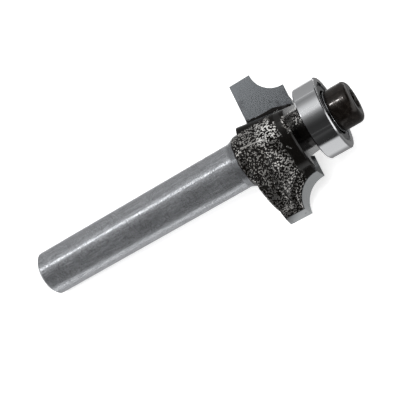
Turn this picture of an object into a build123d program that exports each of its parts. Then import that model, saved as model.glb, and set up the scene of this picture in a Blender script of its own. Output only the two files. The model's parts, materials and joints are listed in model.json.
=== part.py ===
from build123d import *
import math
import os

# Router bit with a guide bearing on its end. It rounds the edge of a board: each of its two carbide tips has
# a quarter-round cove, and a ball bearing on the end rolls along the board and sets the depth of cut.
# The bit is drawn along its own axis, +X, from the end of the shank at 0. One tip points to +Y and cuts
# towards +Z, the other is the same, turned half a turn about the axis. The bit is then laid down as it comes
# to rest on a table. All sizes are in millimetres.

# Shank, and the collar where the shank meets the head
shank_diameter = 8.0
shank_length = 39.9
shank_end_chamfer = 0.45
collar_diameter = 9.2
collar_taper = 1.4
collar_length = 2.3

# Head: a turned disc with a cove in front, milled flat on two sides
head_length = 8.05
head_across_flats = 18.2
head_nose_diameter = 15.2
head_nose_length = 1.05
head_cove_radius = 4.4
head_edge_break = 0.25

# Gullets: the floor starts at the foot of the tip, falls away in front of it and slopes down to the nose
gullet_root_height = 5.95
gullet_floor_width = 7.7
gullet_floor_fall = 13.5
gullet_side_fall = 56.0
gullet_slope = 8.5
gullet_root_radius = 0.6
gullet_bend_radius = 2.5

# Carbide tips
cutting_diameter = 26.0
cove_radius = 4.3
cutting_straight = 3.95
cutting_land = 0.1
tip_thickness = 1.5
tip_set_back = 1.5
tip_overhang = 1.25
tip_foot_height = 6.05
tip_foot_length = 5.0
tip_foot_fall = 18.0
side_relief = 32.0
front_relief = 16.0

# Steel behind the tip, ground down with it from just below the tip's back edge
land_step = 0.06
land_thickness = 0.95
land_relief = 45.0

# Guide bearing, 1/2 inch by 3/16 inch by 5/32 inch
bearing_diameter = 12.7
bearing_bore = 4.7625
bearing_width = 3.967
bearing_chamfer = 0.2
bore_chamfer = 0.2
ball_diameter = 2.381
ball_count = 7
race_clearance = 0.02
groove_radius = 1.24
inner_ring_wall = 1.17
outer_ring_wall = 1.2

# Cage, covers and snap rings of the bearing
cage_sheet = 0.13
cage_band = 0.85
cage_pocket_clearance = 0.04
cover_depth = 0.45
cover_sheet = 0.15
cover_hole_gap = 0.4
cover_lip = 0.1
cover_step = 0.1
cover_step_gap = 0.23
snap_ring_wire = 0.2
snap_ring_width = 0.4
snap_ring_gap = 24.0
rim_overhang = 0.15
rim_thickness = 0.1
cover_fit = 0.02

# Boss that the bearing sits against, and the screw that holds it
boss_diameter = 6.6
boss_length = 1.95
screw_head_diameter = 7.2
screw_head_height = 3.85
screw_head_rounding = 1.0
screw_foot_chamfer = 0.2
socket_across_flats = 3.0
socket_depth = 2.0
socket_drill_angle = 120.0
socket_mouth_chamfer = 0.15
shoulder_fit = 0.01
shoulder_end_gap = 0.05
thread_diameter = 3.54
thread_length = 7.0
thread_end_chamfer = 0.4
thread_fit = 0.05
tapped_depth = 8.5
tap_drill_angle = 118.0

# Radii and places along the axis that follow from the sizes above
shank_radius = shank_diameter / 2
collar_radius = collar_diameter / 2
cutting_radius = cutting_diameter / 2
head_radius = cutting_radius - tip_overhang
nose_radius = head_nose_diameter / 2
bearing_radius = bearing_diameter / 2
boss_radius = boss_diameter / 2
ball_radius = ball_diameter / 2
pitch_radius = (bearing_diameter + bearing_bore) / 4
inner_land_radius = bearing_bore / 2 + inner_ring_wall
outer_land_radius = bearing_radius - outer_ring_wall

collar_start = shank_length + collar_taper
head_start = collar_start + collar_length
head_end = head_start + head_length
boss_end = head_end + boss_length
bearing_middle = boss_end + bearing_width / 2
bearing_end = boss_end + bearing_width
screw_end = bearing_end + screw_head_height


def turned(*edges):
    """The solid that a closed outline beside the axis sweeps in one turn about the X axis."""
    return revolve(make_face(list(edges)), Axis.X)


def outline(*points):
    """A closed run of straight lines through points (x, radius)."""
    return Polyline(*points, close=True)


def half_turn(shape):
    """The same shape on the other side of the axis."""
    return Rot(X=180) * shape


def floor_height(x, z=0.0):
    """Height of the gullet's floor line at a place along the axis, z in front of the tip's face."""
    slope = math.tan(math.radians(gullet_slope))
    fall = math.tan(math.radians(gullet_floor_fall))
    return gullet_root_height - (x - head_start) * slope - z * fall


def turned_blank():
    """Shank, collar, head and boss as they leave the lathe, with the tapped hole."""
    cove_top = head_radius - head_edge_break
    cove_end = head_end - head_nose_length
    cove_centre = nose_radius + head_cove_radius
    cove_start = cove_end - math.sqrt(head_cove_radius**2 - (cove_centre - cove_top) ** 2)
    start_angle = 180 + math.degrees(math.asin((cove_centre - cove_top) / head_cove_radius))
    cove = CenterArc((cove_end, cove_centre), head_cove_radius, start_angle, 270 - start_angle)
    back = Polyline(
        (0, 0),
        (0, shank_radius - shank_end_chamfer),
        (shank_end_chamfer, shank_radius),
        (shank_length, shank_radius),
        (collar_start, collar_radius),
        (head_start, collar_radius),
        (head_start, head_radius - head_edge_break),
        (head_start + head_edge_break, head_radius),
        (cove_start - head_edge_break, head_radius),
        cove @ 0,
    )
    front = Polyline(
        cove @ 1,
        (head_end - head_edge_break, nose_radius),
        (head_end, nose_radius - head_edge_break),
        (head_end, boss_radius),
        (boss_end, boss_radius),
        (boss_end, 0),
        (0, 0),
    )
    return turned(back, cove, front) - tapped_hole()


def tapped_hole():
    """Blind hole for the screw, with the cone that the drill leaves."""
    radius = thread_diameter / 2 + thread_fit
    bottom = boss_end - tapped_depth
    cone = radius / math.tan(math.radians(tap_drill_angle / 2))
    return turned(outline((boss_end, 0), (boss_end, radius), (bottom, radius), (bottom - cone, 0)))


def gullet():
    """What the milling cutter takes away before the +Y tip, rounded at the tip's foot and at the bend."""
    reach = cutting_diameter
    start = head_start - collar_length
    root = (floor_height(start), -tip_set_back)
    bend = (floor_height(start, gullet_floor_width), root[1] + gullet_floor_width)
    side = math.radians(gullet_side_fall)
    far = (bend[0] - reach * math.sin(side), bend[1] + reach * math.cos(side))
    section = make_face(Polyline(root, bend, far, (reach, far[1]), (reach, root[1]), close=True))
    for corner, radius in ((root, gullet_root_radius), (bend, gullet_bend_radius)):
        vertex = section.vertices().sort_by_distance((*corner, 0))[0]
        section = fillet(vertex, radius)
    section = Plane(origin=(start, 0, 0), x_dir=(0, 1, 0), z_dir=(1, 0, 0)) * section
    slope = math.radians(gullet_slope)
    return extrude(section, head_length + 2 * collar_length, dir=(math.cos(slope), -math.sin(slope), 0))


def above_foot(depth, thickness):
    """A slab above the tip's foot, so thick, from so deep behind the plane of the axis."""
    start = head_start
    bend = head_start + tip_foot_length
    end = head_end + boss_length
    fall = (end - bend) * math.tan(math.radians(tip_foot_fall))
    side = Polyline(
        (start, tip_foot_height),
        (bend, tip_foot_height),
        (end, tip_foot_height - fall),
        (end, cutting_diameter),
        (start, cutting_diameter),
        close=True,
    )
    return extrude(Pos(Z=-depth) * make_face(side), -thickness)


def tip_room():
    """The room that is milled for the tip."""
    return above_foot(tip_set_back, tip_thickness)


def milled_flats():
    """The two slabs that come off the sides of the head."""
    slab = Box(2 * head_length, cutting_diameter, cutting_diameter)
    middle = head_start + head_length / 2
    offset = (head_across_flats + cutting_diameter) / 2
    return [Pos(middle, 0, side * offset) * slab for side in (1, -1)]


def bit_body():
    body = turned_blank()
    for cut in milled_flats():
        body -= cut
    land = ground_land()
    body += land
    body += half_turn(land)
    for cut in (gullet(), tip_room()):
        body -= cut
        body -= half_turn(cut)
    return body


def cutting_outline():
    """The outline that the +Y tip cuts, closed below the gullet's floor, as a face in the XY plane."""
    edge_height = math.sqrt(cutting_radius**2 - tip_set_back**2)
    cove_start = head_start + cutting_straight
    cove_end = cove_start + cove_radius
    tip_end = cove_end + cutting_land
    foot = floor_height(tip_end) - tip_thickness
    half = cove_radius * math.sqrt(0.5)
    lines = Polyline(
        (cove_end, edge_height - cove_radius),
        (tip_end, edge_height - cove_radius),
        (tip_end, foot),
        (head_start, foot),
        (head_start, edge_height),
        (cove_start, edge_height),
    )
    cove = ThreePointArc(
        (cove_start, edge_height),
        (cove_end - half, edge_height - half),
        (cove_end, edge_height - cove_radius),
    )
    return make_face([lines, cove])


def relieved(face, thickness, side, front):
    """A layer behind a face, whose outline leans inwards and back by its side and front relief angles."""
    lean = Vector(-math.tan(math.radians(front)), -math.tan(math.radians(side)), -1) * thickness
    return extrude(face, lean.length, dir=lean)


def cutting_tip():
    """The +Y tip. The lean of its sides through the thickness is what lets it cut."""
    face = Pos(Z=-tip_set_back) * cutting_outline()
    return relieved(face, tip_thickness, side_relief, front_relief) & tip_room()


def ground_land():
    """The steel behind the +Y tip that is ground to the tip's outline, until it sinks into the head."""
    back = tip_set_back + tip_thickness
    inwards = tip_thickness * math.tan(math.radians(side_relief)) + land_step
    backwards = tip_thickness * math.tan(math.radians(front_relief)) + land_step
    face = Pos(-backwards, -inwards, -back) * cutting_outline()
    return relieved(face, land_thickness, land_relief, front_relief) & above_foot(back, land_thickness)


def bearing_screw():
    """Socket head screw: head, plain shoulder in the bearing's bore, and thread drawn at its pitch line."""
    head = screw_head_diameter / 2
    shoulder = bearing_bore / 2 - shoulder_fit
    shoulder_start = boss_end + shoulder_end_gap
    thread = thread_diameter / 2
    tip = boss_end - thread_length
    rounding = screw_head_rounding
    sides = Polyline(
        (screw_end, head - rounding),
        (screw_end, 0),
        (tip, 0),
        (tip, thread - thread_end_chamfer),
        (tip + thread_end_chamfer, thread),
        (shoulder_start, thread),
        (shoulder_start, shoulder),
        (bearing_end, shoulder),
        (bearing_end, head - screw_foot_chamfer),
        (bearing_end + screw_foot_chamfer, head),
        (screw_end - rounding, head),
    )
    corner = rounding * (1 - math.sqrt(0.5))
    crown = ThreePointArc(
        (screw_end - rounding, head),
        (screw_end - corner, head - corner),
        (screw_end, head - rounding),
    )
    return turned(sides, crown) - hex_socket()


def hex_socket():
    """Six-sided socket with a drilled bottom and a bevelled mouth."""
    mouth = Plane(origin=(screw_end, 0, 0), x_dir=(0, 1, 0), z_dir=(-1, 0, 0))
    key = extrude(mouth * RegularPolygon(socket_across_flats / 2, 6, major_radius=False), socket_depth)
    corners = socket_across_flats / math.sqrt(3) + socket_mouth_chamfer
    bevel = turned(outline((screw_end, 0), (screw_end, corners), (screw_end - corners, 0)))
    drill = socket_across_flats / 2
    bottom = screw_end - socket_depth
    point = bottom - drill / math.tan(math.radians(socket_drill_angle / 2))
    cone = turned(outline((bottom, 0), (bottom, drill), (point, 0)))
    return key + bevel + cone


def in_bearing(shape):
    """Moves a piece that is drawn about the middle of the bearing to its place on the axis."""
    return Pos(X=bearing_middle) * shape


def turned_round(shape):
    """The same piece, facing the rear of the bearing."""
    return Rot(Y=180) * shape


def groove(circle_radius):
    """The ring that the ball groove takes out of a race."""
    return revolve(Pos(0, circle_radius) * Circle(groove_radius), Axis.X)


def inner_ring():
    face = bearing_width / 2
    bore = bearing_bore / 2
    ring = turned(
        outline(
            (-face, bore + bore_chamfer),
            (-face, inner_land_radius),
            (face, inner_land_radius),
            (face, bore + bore_chamfer),
            (face - bore_chamfer, bore),
            (-face + bore_chamfer, bore),
        )
    )
    bottom = pitch_radius - ball_radius - race_clearance
    return ring - groove(bottom + groove_radius)


def seat_radius():
    """Bottom of the recess that a cover and its snap ring sit in."""
    return outer_land_radius + snap_ring_width


def outer_ring():
    """Outer race, with a recess under a thin rim at each end for the cover and its snap ring."""
    face = bearing_width / 2
    seat = face - cover_depth
    rim = seat_radius() - rim_overhang
    half = [
        (0, outer_land_radius),
        (seat, outer_land_radius),
        (seat, seat_radius()),
        (face - rim_thickness, seat_radius()),
        (face - rim_thickness, rim),
        (face, rim),
        (face, bearing_radius - bearing_chamfer),
        (face - bearing_chamfer, bearing_radius),
        (0, bearing_radius),
    ]
    front = turned(outline(*half))
    ring = front + turned_round(front)
    bottom = pitch_radius + ball_radius + race_clearance
    return ring - groove(bottom - groove_radius)


def balls():
    """The balls, evenly spaced about the axis."""
    step = 360 / ball_count
    return [Rot(X=step * number) * Pos(Y=pitch_radius) * Sphere(ball_radius) for number in range(ball_count)]


def cage_front():
    """Front half of the cage: a flat band that is pressed out into an arch over each ball."""
    inner = pitch_radius - cage_band / 2
    outer = pitch_radius + cage_band / 2
    pocket = ball_radius + cage_pocket_clearance
    shell = pocket + cage_sheet
    band = turned(outline((0, inner), (0, outer), (cage_sheet, outer), (cage_sheet, inner)))
    room = turned(outline((0, inner), (0, outer), (shell, outer), (shell, inner)))
    step = 360 / ball_count
    places = [Rot(X=step * number) * Pos(Y=pitch_radius) * Rot(X=90) for number in range(ball_count)]
    half = band
    for place in places:
        half += (place * Cylinder(shell, 2 * cage_band)) & room
    for place in places:
        half -= place * Cylinder(pocket, 2 * cage_band)
    return half


def shield_front():
    """Front cover: pressed sheet with a raised middle and a short lip turned in at its hole."""
    seat = bearing_width / 2 - cover_depth
    rim = seat_radius() - cover_fit
    hole = inner_land_radius + cover_hole_gap
    step = rim - snap_ring_width - cover_step_gap
    raised = seat + cover_step
    return turned(
        outline(
            (seat, rim),
            (seat, step),
            (raised, step - cover_step),
            (raised, hole + cover_sheet),
            (raised - cover_lip, hole + cover_sheet),
            (raised - cover_lip, hole),
            (raised + cover_sheet, hole),
            (raised + cover_sheet, step - cover_step),
            (seat + cover_sheet, step),
            (seat + cover_sheet, rim),
        )
    )


def snap_ring_front():
    """Open ring of flat wire that holds the front cover down."""
    start = bearing_width / 2 - cover_depth + cover_sheet
    end = start + snap_ring_wire
    outside = seat_radius() - cover_fit
    inside = outside - snap_ring_width
    section = make_face(outline((start, inside), (start, outside), (end, outside), (end, inside)))
    return Rot(X=snap_ring_gap / 2) * revolve(section, Axis.X, 360 - snap_ring_gap)


def pieces():
    """Every piece in its place on the bit's own axis, by name."""
    found = {
        "bit_body": bit_body(),
        "cutting_tip_1": cutting_tip(),
        "cutting_tip_2": half_turn(cutting_tip()),
        "bearing_screw": bearing_screw(),
        "inner_ring": in_bearing(inner_ring()),
        "outer_ring": in_bearing(outer_ring()),
    }
    for number, ball in enumerate(balls(), start=1):
        found[f"ball_{number}"] = in_bearing(ball)
    fronts = {"cage": cage_front(), "shield": shield_front(), "snap_ring": snap_ring_front()}
    for name, front in fronts.items():
        found[f"{name}_front"] = in_bearing(front)
        found[f"{name}_rear"] = in_bearing(turned_round(front))
    return found


def laid_down():
    """Turns the bit to where it comes to rest: on its shank's end, a cutting corner and a gullet's bend."""
    corner = Vector(0, -math.sqrt(cutting_radius**2 - tip_set_back**2), tip_set_back)
    bend = Vector(0, -floor_height(head_start, gullet_floor_width), tip_set_back - gullet_floor_width)
    middle = math.radians((gullet_floor_fall + gullet_side_fall) / 2)
    half_bend = math.radians((gullet_side_fall - gullet_floor_fall) / 2)
    inwards = gullet_bend_radius / math.cos(half_bend)
    across = corner - (bend + Vector(0, math.cos(middle), math.sin(middle)) * inwards)
    down = across.normalized().rotate(Axis.X, math.degrees(math.acos(gullet_bend_radius / across.length)))
    roll = math.atan2(-down.Y, -down.Z)
    rise = math.atan((corner.dot(down) - shank_radius) / (head_start - shank_end_chamfer))
    lift = shank_radius * math.cos(rise) - shank_end_chamfer * math.sin(rise)
    return Pos(Z=lift) * Rot(Y=-math.degrees(rise)) * Rot(X=math.degrees(roll))


def main():
    os.makedirs("parts", exist_ok=True)
    lying = laid_down()
    shapes = pieces()
    box = Compound([lying * shape for shape in shapes.values()]).bounding_box()
    place = Pos(-box.center().X, -box.center().Y, 0) * lying
    for name, shape in shapes.items():
        export_step(place * shape, f"parts/{name}.step")
    print("size", box.size, "lowest point", box.min.Z)
    for name, along in (("shank end", 0), ("bearing middle", bearing_middle), ("screw end", screw_end)):
        print(name, (place * Pos(X=along)).position)


main()
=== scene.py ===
import json
import math

import bpy
from mathutils import Matrix, Vector

# A corner-rounding router bit with a guide bearing, lying on a white table under an overhead softbox.
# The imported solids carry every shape. This file gives them their finishes, a small studio and the
# photograph's view. The patterns are laid out in millimetres along the bit's own axis.

MM = 0.001

# Settings that many nodes share. A map range then takes a value, the two ends it comes from and the two ends
# it goes to, which are 0 and 1 where they are left out. A mix takes a share and two colours or numbers.
PLUS = {"operation": "ADD"}
MINUS = {"operation": "SUBTRACT"}
TIMES = {"operation": "MULTIPLY"}
TIMES_PLUS = {"operation": "MULTIPLY_ADD"}
HIGHER = {"operation": "MAXIMUM"}
WITHOUT_SIGN = {"operation": "ABSOLUTE"}
COSINE = {"operation": "DOT_PRODUCT"}
SOFTLY = {"interpolation_type": "SMOOTHSTEP"}
COLOUR = {"data_type": "RGBA"}
NUMBER = {"data_type": "FLOAT"}

WHITE = (1.0, 1.0, 1.0, 1.0)

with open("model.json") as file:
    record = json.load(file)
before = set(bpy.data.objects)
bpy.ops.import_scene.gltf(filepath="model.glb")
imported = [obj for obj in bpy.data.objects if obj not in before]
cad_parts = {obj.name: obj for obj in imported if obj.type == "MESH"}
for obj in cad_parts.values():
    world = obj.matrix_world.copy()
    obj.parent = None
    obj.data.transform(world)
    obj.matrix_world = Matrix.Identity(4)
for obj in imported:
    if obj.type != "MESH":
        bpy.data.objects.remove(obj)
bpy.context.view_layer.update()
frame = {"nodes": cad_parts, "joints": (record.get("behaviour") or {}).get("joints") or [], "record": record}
nodes = frame["nodes"]
pieces = frame["record"]["subparts"]

# The bit's axis rises a few degrees towards the bearing
spin = next(joint for joint in frame["joints"] if joint["name"] == "bearing_spin")
shank = next(mount for mount in frame["record"]["mounts"] if mount["name"] == "shank")
axis = Vector(spin["axis"]).normalized()
rise = math.asin(axis.z)
shank_middle = Vector(shank["pos_m"])

# Places along the axis in millimetres, from the middle of the plain shank. The coating starts a little
# before the collar's taper ends.
shank_end = shank["dims"]["length_mm"] / 2
collar_taper = 1.4
collar_length = 2.3
head_length = 8.05
coat_start = shank_end + collar_taper - 0.35
head_front = shank_end + collar_taper + collar_length + head_length

# The way the upper tip's rake face looks, the way the bend of the upper gullet looks, and the way up across
# that gullet from the axis to the foot of the tip
rake_facing = (-0.057, -0.652, 0.756)
bend_facing = (-0.05, -0.375, 0.927)
up_gullet = (0.0, 0.545, 0.839)


def linear(hex_colour):
    """An sRGB hex colour as linear red, green, blue and alpha."""
    parts = [int(hex_colour[place:place + 2], 16) / 255 for place in (1, 3, 5)]
    return [part / 12.92 if part <= 0.04045 else ((part + 0.055) / 1.055) ** 2.4 for part in parts] + [1.0]


def add(tree, kind, settings=None, inputs=()):
    """Adds one shader node. Settings are its own properties. Inputs are given by name, or in the node's own
    order, and each is a plain value, a socket, or a node, which stands for its first output in use."""
    node = tree.nodes.new(kind)
    for name, value in (settings or {}).items():
        setattr(node, name, value)
    in_use = [socket for socket in node.inputs if socket.enabled]
    if isinstance(inputs, dict):
        in_use = [next(socket for socket in in_use if socket.name == name) for name in inputs]
        inputs = inputs.values()
    for socket, value in zip(in_use, inputs):
        if isinstance(value, bpy.types.Node):
            value = next(output for output in value.outputs if output.enabled)
        if isinstance(value, bpy.types.NodeSocket):
            tree.links.new(value, socket)
        else:
            socket.default_value = value
    return node


def empty_material(name):
    """A new material and its tree, with nothing in it."""
    material = bpy.data.materials.new(name)
    material.use_nodes = True
    tree = material.node_tree
    tree.nodes.clear()
    return material, tree


def bit_millimetres(tree):
    """Place on a piece in millimetres, X along the bit's axis from the middle of the plain shank."""
    place = add(tree, "ShaderNodeTexCoord").outputs["Object"]
    inputs = {"Vector": place, "Location": shank_middle, "Rotation": (0, -rise, 0), "Scale": (MM, MM, MM)}
    return add(tree, "ShaderNodeMapping", {"vector_type": "TEXTURE"}, inputs)


def streaks(tree, place, along_per_mm, across_per_mm, detail, roughness):
    """Noise that is drawn out along the bit or round it, with so many lumps in a millimetre each way."""
    scale = (along_per_mm, across_per_mm, across_per_mm)
    drawn_out = add(tree, "ShaderNodeMapping", inputs={"Vector": place, "Scale": scale})
    inputs = {"Vector": drawn_out, "Scale": 1.0, "Detail": detail, "Roughness": roughness}
    return add(tree, "ShaderNodeTexNoise", inputs=inputs)


def band(tree, value, middle, reach, full):
    """1 within full of a middle value, fading to 0 at reach from it."""
    offset = add(tree, "ShaderNodeMath", MINUS, (value, middle))
    distance = add(tree, "ShaderNodeMath", WITHOUT_SIGN, (offset,))
    return add(tree, "ShaderNodeMapRange", SOFTLY, (distance, reach, full))


def facing(tree, direction, from_cosine, to_cosine):
    """1 where the surface faces a direction, by the cosine of the angle between them."""
    normal = add(tree, "ShaderNodeNewGeometry").outputs["Normal"]
    cosine = add(tree, "ShaderNodeVectorMath", COSINE, (normal, direction))
    return add(tree, "ShaderNodeMapRange", SOFTLY, (cosine, from_cosine, to_cosine))


def sharp_edges(tree, rounded):
    """1 along sharp edges, where the rounded normal turns away from the flat one."""
    flat = add(tree, "ShaderNodeNewGeometry").outputs["True Normal"]
    cosine = add(tree, "ShaderNodeVectorMath", COSINE, (rounded, flat))
    return add(tree, "ShaderNodeMapRange", SOFTLY, (cosine, 0.96, 0.88))


def ground_shank(tree, place, along):
    """The bare shank: tool steel, ground round and oiled. Gives its inputs for the shader."""
    # Grinding marks run round the shank, 60 in a millimetre as on real ground steel. Some are polished and
    # some are dull. They are too fine to be seen one by one. Together they give the eye a clear highlight
    # along the shank with a wide, soft one round it.
    grinding = streaks(tree, place, 60.0, 1.5, 2.0, 0.6)
    ground = add(tree, "ShaderNodeMapRange", SOFTLY, (grinding, 0.45, 0.55, 0.17, 0.8))
    # The end face is turned and not ground, an even satin
    turned_end = facing(tree, -axis, 0.5, 0.9)
    roughness = add(tree, "ShaderNodeMix", NUMBER, (turned_end, ground, 0.45))

    # Hair scratches from the collet run along the shank, and small handling marks lie between them. Real
    # ones are a few hundredths of a millimetre wide. They are drawn at about 0.2 mm, so that they show.
    scratches = streaks(tree, place, 0.5, 6.0, 4.0, 0.7)
    inputs = {"Vector": place, "Scale": 4.5, "Detail": 3.0, "Roughness": 0.7}
    grains = add(tree, "ShaderNodeTexNoise", inputs=inputs)
    scratch_part = add(tree, "ShaderNodeMath", TIMES, (scratches, 0.6))
    worn = add(tree, "ShaderNodeMath", TIMES_PLUS, (grains, 0.4, scratch_part))
    wear = add(tree, "ShaderNodeMapRange", SOFTLY, (worn, 0.38, 0.62))
    fine = add(tree, "ShaderNodeMix", COLOUR, (wear, linear("#8a8c90"), linear("#b6b8bb")))

    # Smears of oil, 0.6 mm wide and several millimetres long, take a little of the shine away
    smears = streaks(tree, place, 0.15, 1.6, 5.0, 0.65)
    oil = add(tree, "ShaderNodeMapRange", SOFTLY, (smears, 0.35, 0.65, 0.0, 0.35))
    oiled = add(tree, "ShaderNodeMix", COLOUR, (oil, fine, linear("#a9abae")))
    metallic = add(tree, "ShaderNodeMapRange", SOFTLY, (smears, 0.35, 0.65, 0.78, 0.9))

    # The collar's bare taper is a shade darker than the shank
    darker_taper = add(tree, "ShaderNodeMapRange", SOFTLY, (along, shank_end - 0.3, shank_end + 0.2))
    colour = add(tree, "ShaderNodeMix", COLOUR, (darker_taper, oiled, linear("#828487")))
    return {"Base Color": colour, "Metallic": metallic, "Roughness": roughness, "Specular IOR Level": 0.5}


def wrinkle_coat(tree, place, along):
    """The coating of the collar and head: black wrinkle enamel, sprayed on and stoved. Gives its inputs for
    the shader, where the ridges stand, and which part of the body is coated."""
    # It gives the eye glossy black pits in a net of raised ridges that handling has rubbed silvery, with
    # plain black patches of painted shade between. The borders of the zones wander over 1 to 1.5 mm. The
    # zones go by two places in millimetres: the height up the gullet, and how far behind the head's front
    # face a spot lies.
    height = add(tree, "ShaderNodeVectorMath", COSINE, (place, up_gullet))
    warp = add(tree, "ShaderNodeTexNoise", inputs={"Vector": place, "Scale": 0.9})
    uneven = add(tree, "ShaderNodeTexNoise", inputs={"Vector": place, "Scale": 0.7, "Detail": 3.0})
    wander = add(tree, "ShaderNodeMapRange", inputs={"Value": uneven, "To Min": -1.5, "To Max": 1.5})
    straight = add(tree, "ShaderNodeMath", MINUS, (head_front, along))
    from_front = add(tree, "ShaderNodeMath", TIMES_PLUS, (wander, 0.4, straight))

    # The ridges are left out and the coat is plain glossy black over the lower half of the head's nose, in a
    # band behind its front face and in a line before the tip's seat, as painted shade. They are left out too
    # along sharp edges and at the foot of the tip.
    near_front = add(tree, "ShaderNodeMapRange", SOFTLY, (from_front, 2.6, 1.9))
    uneven_height = add(tree, "ShaderNodeMath", PLUS, (height, wander))
    below = add(tree, "ShaderNodeMapRange", SOFTLY, (uneven_height, 1.6, 0.8))
    nose = add(tree, "ShaderNodeMath", TIMES, (near_front, below))
    shade_band = band(tree, from_front, 1.1, 0.6, 0.4)
    # Painted shade over the nose and in the band behind its front face
    painted_shade_areas = add(tree, "ShaderNodeMath", HIGHER, (nose, shade_band))
    wide_round = add(tree, "ShaderNodeBevel", {"samples": 6}, {"Radius": 0.22 * MM})
    smooth_edge = add(tree, "ShaderNodeMath", TIMES, (sharp_edges(tree, wide_round), 0.9))
    # A line of painted shade before the tip's seat
    foot_shade_line = band(tree, height, 5.15, 0.6, 0.4)
    high_up = add(tree, "ShaderNodeMapRange", SOFTLY, (height, 3.5, 3.7))
    at_nose = add(tree, "ShaderNodeMapRange", SOFTLY, (from_front, 2.9, 2.3))
    foot = add(tree, "ShaderNodeMath", TIMES, (high_up, at_nose))
    smooth = painted_shade_areas
    for mask in (smooth_edge, foot_shade_line, foot):
        smooth = add(tree, "ShaderNodeMath", HIGHER, (smooth, mask))
    wrinkled = add(tree, "ShaderNodeMath", MINUS, (1.0, smooth))

    # Where the gullet bends and in a patch near the head's front the ridges are painted wider, whiter and
    # less metallic, as a painted highlight. On the flat of the gullet, which faces the way of the upper rake
    # face, they are painted darker, as painted shade.
    across = band(tree, height, 2.8, 2.1, 0.7)
    beside = band(tree, from_front, 3.4, 2.5, 0.8)
    highlight_patch = add(tree, "ShaderNodeMath", TIMES, (across, beside))
    on_head = add(tree, "ShaderNodeMapRange", SOFTLY, (from_front, 8.4, 7.8))
    bend_highlight = add(tree, "ShaderNodeMath", TIMES, (facing(tree, bend_facing, 0.96, 0.99), on_head))
    painted_highlight = add(tree, "ShaderNodeMath", HIGHER, (bend_highlight, highlight_patch))
    painted_shade_on_flat = facing(tree, rake_facing, 0.97, 0.995)

    # The net: real wrinkles of this enamel stand 0.2 to 0.4 mm apart, drawn at 0.27 mm
    net = add(tree, "ShaderNodeTexNoise", inputs={"Vector": place, "Scale": 3.7, "Detail": 1.0})
    depth = add(tree, "ShaderNodeMapRange", SOFTLY, (warp, 0.38, 0.6, 0.56, 0.525))
    # The painted highlight widens the ridges
    lowered = add(tree, "ShaderNodeMath", TIMES_PLUS, (painted_highlight, -0.025, depth))
    raised = add(tree, "ShaderNodeMath", MINUS, (net, lowered))
    crests = add(tree, "ShaderNodeMapRange", SOFTLY, (raised, 0.0, 0.03))
    ridges = add(tree, "ShaderNodeMath", TIMES, (crests, wrinkled))

    # A painted highlight runs as one line where the two cuts of the gullet meet, and a small scratch lies in
    # the smooth paint. Both are hair-thin and are drawn a little over 0.1 mm wide, so that they show.
    course = add(tree, "ShaderNodeMath", TIMES_PLUS, (from_front, 0.13, 1.55))
    seam_highlight = band(tree, height, course, 0.12, 0.06)
    seam_highlight_length = band(tree, from_front, 6.2, 2.2, 1.9)
    slant = add(tree, "ShaderNodeMath", TIMES_PLUS, (height, -0.6, head_front - 2.1))
    scratch = band(tree, along, slant, 0.13, 0.05)
    scratch_length = band(tree, height, -1.0, 0.4, 0.25)
    # Silver on the ridges, on the scratch and on the painted highlight line
    ridges_scratch_and_highlight = ridges
    for line, length in ((seam_highlight, seam_highlight_length), (scratch, scratch_length)):
        part_line = add(tree, "ShaderNodeMath", TIMES, (line, length))
        ridges_scratch_and_highlight = add(tree, "ShaderNodeMath", HIGHER, (ridges_scratch_and_highlight, part_line))
    past_rim = add(tree, "ShaderNodeMapRange", SOFTLY, (along, coat_start + 0.15, coat_start + 0.45))
    silver = add(tree, "ShaderNodeMath", TIMES, (ridges_scratch_and_highlight, past_rim))

    # Ridges are painted darker in the painted shade and white in the painted highlight
    plain_ridge = add(tree, "ShaderNodeMix", COLOUR, (painted_shade_on_flat, linear("#bdbbb8"), linear("#8f8d8a")))
    ridge = add(tree, "ShaderNodeMix", COLOUR, (painted_highlight, plain_ridge, linear("#ecebe8")))
    colour = add(tree, "ShaderNodeMix", COLOUR, (silver, linear("#0c0a08"), ridge))
    roughness = add(tree, "ShaderNodeMapRange", SOFTLY, (silver, 0.0, 1.0, 0.2, 0.3))
    # In the painted highlight the ridges are less metallic, so paler
    paler = add(tree, "ShaderNodeMapRange", SOFTLY, (painted_highlight, 0.0, 1.0, 1.0, 0.45))
    metallic = add(tree, "ShaderNodeMath", TIMES, (silver, paler))
    glossy = add(tree, "ShaderNodeMath", HIGHER, (silver, painted_shade_areas))
    gloss = add(tree, "ShaderNodeMapRange", SOFTLY, (glossy, 0.0, 1.0, 0.12, 0.3))

    # The coating ends in a slightly wavy line round the collar
    wave = add(tree, "ShaderNodeMapRange", inputs={"Value": warp, "To Min": -0.25, "To Max": 0.25})
    wavy = add(tree, "ShaderNodeMath", PLUS, (along, wave))
    coated = add(tree, "ShaderNodeMapRange", SOFTLY, (wavy, coat_start - 0.06, coat_start + 0.06))
    coat = {"Base Color": colour, "Metallic": metallic, "Roughness": roughness, "Specular IOR Level": gloss}
    return coat, silver, coated


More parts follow.
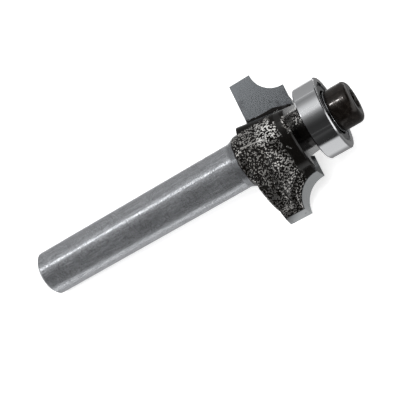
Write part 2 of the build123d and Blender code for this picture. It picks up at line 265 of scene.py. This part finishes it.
def ground_steel_and_wrinkle_coat():
    """The one-piece body: bare ground tool steel on the shank, black wrinkle enamel from the collar on."""
    material, tree = empty_material("ground_steel_and_wrinkle_coat")
    place = bit_millimetres(tree)
    along = add(tree, "ShaderNodeSeparateXYZ", inputs=(place,)).outputs["X"]
    steel = ground_shank(tree, place, along)
    coat, ridges, coated = wrinkle_coat(tree, place, along)

    # Edges are broken by 0.08 mm and catch a thin line of light. In places under 1 mm long the coating has
    # chipped off them and bright steel shows.
    rounded = add(tree, "ShaderNodeBevel", {"samples": 6}, {"Radius": 0.08 * MM})
    spots = add(tree, "ShaderNodeTexNoise", inputs={"Vector": place, "Scale": 1.3})
    chips = add(tree, "ShaderNodeMapRange", SOFTLY, (spots, 0.54, 0.62))
    bare_edge = add(tree, "ShaderNodeMath", TIMES, (sharp_edges(tree, rounded), chips))
    kept = add(tree, "ShaderNodeMath", MINUS, (1.0, bare_edge))
    covered = add(tree, "ShaderNodeMath", TIMES, (coated, kept))
    finish = {}
    for name, steel_value in steel.items():
        settings = COLOUR if name == "Base Color" else NUMBER
        finish[name] = add(tree, "ShaderNodeMix", settings, (covered, steel_value, coat[name]))

    # The ridges stand 0.03 mm proud of the pits
    relief = add(tree, "ShaderNodeMath", TIMES, (ridges, covered))
    inputs = {"Distance": 0.03 * MM, "Strength": 1.0, "Height": relief, "Normal": rounded}
    finish["Normal"] = add(tree, "ShaderNodeBump", inputs=inputs)
    shader = add(tree, "ShaderNodeBsdfPrincipled", inputs=finish)
    add(tree, "ShaderNodeOutputMaterial", inputs={"Surface": shader})
    return material


def ground_carbide():
    """The tips: sintered tungsten carbide, brazed on and then ground flat with a diamond wheel."""
    material, tree = empty_material("ground_carbide")
    place = bit_millimetres(tree)

    # A cool, even mid grey with a satin sheen. Wheel marks are finer than 0.01 mm and are drawn at 0.07 mm.
    marks = streaks(tree, place, 14.0, 1.2, 3.0, 0.6)
    roughness = add(tree, "ShaderNodeMapRange", SOFTLY, (marks, 0.3, 0.7, 0.22, 0.26))
    relief = add(tree, "ShaderNodeBump", inputs={"Distance": 0.002 * MM, "Strength": 1.0, "Height": marks})

    # Where the surface faces the way of the upper tip's rake face it is painted darker, as painted shade. A
    # few dark stains of flux, about 1 mm wide, gather in places some 4 mm apart.
    rake = facing(tree, rake_facing, 0.9, 0.98)
    clean = add(tree, "ShaderNodeMix", COLOUR, (rake, linear("#868889"), linear("#6b6e71")))
    inputs = {"Vector": place, "Scale": 1.1, "Detail": 6.0, "Roughness": 0.7}
    stains = add(tree, "ShaderNodeTexNoise", inputs=inputs)
    spread = add(tree, "ShaderNodeTexNoise", inputs={"Vector": place, "Scale": 0.28, "Detail": 1.0})
    gathered = add(tree, "ShaderNodeMapRange", SOFTLY, (spread, 0.42, 0.62, 0.8, 1.15))
    dark = add(tree, "ShaderNodeMath", TIMES, (stains, gathered))
    flux = add(tree, "ShaderNodeMapRange", SOFTLY, (dark, 0.52, 0.72, 0.0, 0.7))
    colour = add(tree, "ShaderNodeMix", COLOUR, (flux, clean, linear("#4c4d50")))

    finish = {"Base Color": colour, "Metallic": 1.0, "Roughness": roughness, "Normal": relief}
    shader = add(tree, "ShaderNodeBsdfPrincipled", inputs=finish)
    add(tree, "ShaderNodeOutputMaterial", inputs={"Surface": shader})
    return material


def polished_bearing_steel():
    """The rings and balls: hardened chrome steel, ground and superfinished."""
    material, tree = empty_material("polished_bearing_steel")
    place = bit_millimetres(tree)

    # Almost a mirror, which shows the studio in clean bands. The hairlines round the ring are finer than
    # 0.005 mm and are drawn at 0.06 mm. Its turned edges are broken by 0.12 mm and glint.
    hairlines = streaks(tree, place, 16.0, 0.4, 2.0, 0.5)
    roughness = add(tree, "ShaderNodeMapRange", SOFTLY, (hairlines, 0.3, 0.7, 0.08, 0.14))
    rounded = add(tree, "ShaderNodeBevel", {"samples": 6}, {"Radius": 0.12 * MM})
    inputs = {"Distance": 0.0005 * MM, "Strength": 1.0, "Height": hairlines, "Normal": rounded}
    relief = add(tree, "ShaderNodeBump", inputs=inputs)

    finish = {"Base Color": linear("#c3c4c6"), "Metallic": 1.0, "Roughness": roughness, "Normal": relief}
    shader = add(tree, "ShaderNodeBsdfPrincipled", inputs=finish)
    add(tree, "ShaderNodeOutputMaterial", inputs={"Surface": shader})
    return material


def black_oxide():
    """The screw: alloy steel, blackened in a hot salt bath and oiled."""
    material, tree = empty_material("black_oxide")
    place = bit_millimetres(tree)

    # Near black with a warm cast. The oil lies in films about 0.7 mm wide, wet in some places and dried in
    # others, so that a highlight breaks up.
    oil = add(tree, "ShaderNodeTexNoise", inputs={"Vector": place, "Scale": 1.5, "Detail": 3.0})
    dried = add(tree, "ShaderNodeMapRange", SOFTLY, (oil, 0.4, 0.7))
    colour = add(tree, "ShaderNodeMix", COLOUR, (dried, linear("#181310"), linear("#241e1a")))
    roughness = add(tree, "ShaderNodeMapRange", SOFTLY, (oil, 0.35, 0.65, 0.1, 0.3))

    finish = {"Base Color": colour, "Metallic": 0.45, "Roughness": roughness}
    shader = add(tree, "ShaderNodeBsdfPrincipled", inputs=finish)
    add(tree, "ShaderNodeOutputMaterial", inputs={"Surface": shader})
    return material


def rolled_steel(name, dark, light):
    """Steel as it leaves the rolls or the drawing die, in a dark and a light tone."""
    material, tree = empty_material(name)
    place = bit_millimetres(tree)

    # A metal with soft cloudy patches from the rolls, about 0.3 mm wide, which make its shine uneven
    clouds = add(tree, "ShaderNodeTexNoise", inputs={"Vector": place, "Scale": 3.0, "Detail": 3.0})
    colour = add(tree, "ShaderNodeMix", COLOUR, (clouds, linear(dark), linear(light)))
    roughness = add(tree, "ShaderNodeMapRange", SOFTLY, (clouds, 0.3, 0.7, 0.18, 0.3))

    finish = {"Base Color": colour, "Metallic": 1.0, "Roughness": roughness}
    shader = add(tree, "ShaderNodeBsdfPrincipled", inputs=finish)
    add(tree, "ShaderNodeOutputMaterial", inputs={"Surface": shader})
    return material


def dress_nodes():
    """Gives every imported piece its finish."""
    finishes = {
        "tool_steel": ground_steel_and_wrinkle_coat(),
        "carbide": ground_carbide(),
        "black_screw": black_oxide(),
        "bearing_steel": polished_bearing_steel(),
        "pressed_sheet": rolled_steel("blued_cover_sheet", "#3c3d40", "#57585b"),
        "spring_wire": rolled_steel("bright_spring_wire", "#a9aaac", "#c9cacc"),
    }
    for piece in pieces:
        mesh = nodes[piece["node"]].data
        mesh.materials.clear()
        mesh.materials.append(finishes[piece["material_slot"]])


def seen_directly(tree):
    """1 where the camera, a reflection or a refraction looks, 0 for the light that falls on things."""
    rays = add(tree, "ShaderNodeLightPath")
    seen = rays.outputs["Is Camera Ray"]
    for name in ("Is Glossy Ray", "Is Transmission Ray"):
        seen = add(tree, "ShaderNodeMath", HIGHER, (seen, rays.outputs[name]))
    return seen


def white_table():
    """A large white floor that keeps a soft shadow and reads as pure white away from it."""
    bpy.ops.mesh.primitive_plane_add(size=3.0)
    table = bpy.context.object
    table.name = "table"
    material, tree = empty_material("white_table")
    paper = add(tree, "ShaderNodeBsdfDiffuse", inputs={"Color": linear("#ececec")})
    lift = add(tree, "ShaderNodeMath", TIMES, (seen_directly(tree), 0.66))
    glow = add(tree, "ShaderNodeEmission", inputs={"Color": WHITE, "Strength": lift})
    both = add(tree, "ShaderNodeAddShader", inputs=(paper, glow))
    add(tree, "ShaderNodeOutputMaterial", inputs={"Surface": both})
    table.data.materials.append(material)


def white_surroundings():
    """White where the camera or a reflection looks past the table, and a quiet grey as light."""
    world = bpy.data.worlds.new("surroundings")
    bpy.context.scene.world = world
    world.use_nodes = True
    tree = world.node_tree
    tree.nodes.clear()
    as_light = 0.55
    strength = add(tree, "ShaderNodeMath", TIMES_PLUS, (seen_directly(tree), 1.0 - as_light, as_light))
    sky = add(tree, "ShaderNodeBackground", inputs={"Color": WHITE, "Strength": strength})
    add(tree, "ShaderNodeOutputWorld", inputs={"Surface": sky})


def softbox(name, middle, target, width, height, radiance):
    """A rectangular lamp that faces a point. It lights things and shows in no reflection."""
    lamp = bpy.data.lights.new(name, "AREA")
    lamp.shape = "RECTANGLE"
    lamp.size = width
    lamp.size_y = height
    lamp.energy = radiance * math.pi * width * height
    box = bpy.data.objects.new(name, lamp)
    bpy.context.scene.collection.objects.link(box)
    box.location = middle
    box.rotation_euler = (Vector(target) - Vector(middle)).to_track_quat("-Z", "Y").to_euler()
    box.visible_glossy = False
    return box


def glint_on_screw():
    """A small lamp that only the screw sees, for the broken highlight along its oiled head."""
    screw_head = (0.029, 0.0, 0.0085)
    overhead = (-0.04, -0.068, 0.282)
    lamp = softbox("screw_glint", overhead, screw_head, width=0.026, height=0.02, radiance=60.0)
    lamp.visible_glossy = True
    lit = bpy.data.collections.new("lit_by_screw_glint")
    for piece in pieces:
        if piece["material_slot"] == "black_screw":
            lit.objects.link(nodes[piece["node"]])
    lamp.light_linking.receiver_collection = lit


def tent_brightness(tree, place):
    """What the tent shows, by the angle up from the near horizon, over the top, to the far one."""
    near = add(tree, "ShaderNodeMath", TIMES, (place.outputs["Y"], -1.0))
    turn = add(tree, "ShaderNodeMath", {"operation": "ARCTAN2"}, (place.outputs["Z"], near))
    angle = add(tree, "ShaderNodeMath", {"operation": "DEGREES"}, (turn,))
    share = add(tree, "ShaderNodeMath", {"operation": "DIVIDE"}, (angle, 180.0))

    # Degrees and brightness: dark towards the camera, bright overhead, grey behind the bit, one white line
    steps = (
        (0, 0.05), (8, 0.05), (10, 0.14), (12, 0.05), (30, 0.045), (38, 0.065), (47, 0.13), (55, 0.22),
        (64, 0.55), (72, 1.1), (84, 1.1), (92, 0.9), (101, 0.54), (111, 0.37), (121, 0.5), (123, 1.0),
        (125, 0.55), (180, 0.46),
    )
    brightest = max(brightness for degrees, brightness in steps)
    curve = add(tree, "ShaderNodeValToRGB", inputs={"Fac": share})
    points = curve.color_ramp.elements
    while len(points) < len(steps):
        points.new(1.0)
    for point, (degrees, brightness) in zip(points, steps):
        point.position = degrees / 180
        point.color = [brightness / brightest] * 3 + [1.0]
    lit = add(tree, "ShaderNodeMath", TIMES, (curve, brightest))

    # A bright strip, a painted reflection that lights nothing, shows over the shank; the head reflects only
    # the softer tent
    over = band(tree, angle, 76.5, 6.0, 2.0)
    beside_shank = add(tree, "ShaderNodeMapRange", SOFTLY, (place.outputs["X"], -0.087, -0.09))
    strip = add(tree, "ShaderNodeMath", TIMES, (over, beside_shank))
    return add(tree, "ShaderNodeMath", TIMES_PLUS, (strip, 5.5, lit))


def flag_brightness(tree, place):
    """White beside the bit, darker under it as a painted shadow of the bit, and black further towards the
    camera. At the bearing the black is cut back."""
    along, across = place.outputs["X"], place.outputs["Y"]
    cut_back = add(tree, "ShaderNodeMapRange", SOFTLY, (along, 0.008, 0.022, 0.0, 0.0095))
    moved = add(tree, "ShaderNodeMath", PLUS, (across, cut_back))
    black = add(tree, "ShaderNodeMapRange", SOFTLY, (moved, -0.0105, -0.0055, 0.04, 1.0))
    # Painted shadow of the bit on the table, seen only in reflections
    under = add(tree, "ShaderNodeMapRange", SOFTLY, (across, -0.0065, -0.0035, 1.0, 0.35))
    white = add(tree, "ShaderNodeMapRange", SOFTLY, (along, 0.008, 0.022, 2.1, 1.0))
    shaded = add(tree, "ShaderNodeMath", TIMES, (black, under))
    return add(tree, "ShaderNodeMath", TIMES, (shaded, white))


def card_brightness(tree, place):
    """Grey just before the bit's tip and white further on, for bright lines on the turned edges there."""
    return add(tree, "ShaderNodeMapRange", SOFTLY, (place.outputs["X"], 0.045, 0.06, 0.25, 1.7))


def end_brightness(tree, place):
    """White just above the table and dark higher up."""
    return add(tree, "ShaderNodeMapRange", SOFTLY, (place.outputs["Z"], 0.09, 0.05, 0.06, 1.5))


def reflected_sheet(name, brightness):
    """Makes the mesh that was just added a glowing sheet that only reflections show. It neither shades nor
    lights anything."""
    material, tree = empty_material(name)
    position = add(tree, "ShaderNodeNewGeometry").outputs["Position"]
    place = add(tree, "ShaderNodeSeparateXYZ", inputs=(position,))
    glow = add(tree, "ShaderNodeEmission", inputs={"Color": WHITE, "Strength": brightness(tree, place)})
    add(tree, "ShaderNodeOutputMaterial", inputs={"Surface": glow})
    sheet = bpy.context.object
    sheet.name = name
    sheet.data.materials.append(material)
    sheet.visible_camera = False
    sheet.visible_shadow = False
    sheet.visible_diffuse = False
    sheet.visible_transmission = False


def light_tent():
    """What the metal reflects: a long round tent, half of it under the table, with an end before the bit's
    tip, and a flag and a card on the table. Those two lie a hair above it and cover it in reflections."""
    radius = 0.3
    length = 1.2
    end_place = 0.25
    hair = 0.0001
    card_size = 0.3
    card_place = 0.1765
    along_x = (0, math.pi / 2, 0)
    bpy.ops.mesh.primitive_cylinder_add(
        vertices=128, radius=radius, depth=length, end_fill_type="NOTHING", rotation=along_x
    )
    reflected_sheet("tent", tent_brightness)
    bpy.ops.mesh.primitive_circle_add(
        vertices=64, radius=radius, fill_type="NGON", location=(end_place, 0, 0), rotation=along_x
    )
    reflected_sheet("dark_end", end_brightness)
    bpy.ops.mesh.primitive_plane_add(size=1.0, location=(0, -radius / 2, hair))
    bpy.context.object.scale = (length, radius, 1.0)
    reflected_sheet("flag", flag_brightness)
    bpy.ops.mesh.primitive_plane_add(size=card_size, location=(card_place, 0, 2 * hair))
    reflected_sheet("front_card", card_brightness)


def studio():
    """A white table and surroundings, one softbox overhead, and what the metal reflects."""
    white_table()
    white_surroundings()
    head = (0.0, 0.0, 0.008)
    softbox("overhead_softbox", (-0.06, -0.2, 0.3), head, width=0.3, height=0.2, radiance=4.5)
    light_tent()
    glint_on_screw()


def photograph_camera():
    """The photograph's view: from beside and above, turned so that the bit runs up to the right."""
    place = Vector((47.78, -131.26, 104.10)) * MM
    aim = Vector((0.31, -1.01, 4.92)) * MM
    roll = math.radians(-37.91)
    lens = bpy.data.cameras.new("camera")
    lens.sensor_width = 36.0
    lens.lens = 92.3
    lens.clip_start = 0.01
    camera = bpy.data.objects.new("camera", lens)
    bpy.context.scene.collection.objects.link(camera)
    level = (aim - place).to_track_quat("-Z", "Y").to_matrix().to_4x4()
    camera.matrix_world = Matrix.Translation(place) @ level @ Matrix.Rotation(roll, 4, "Z")
    bpy.context.scene.camera = camera


dress_nodes()
studio()
photograph_camera()
bpy.context.scene.view_settings.view_transform = "Standard"
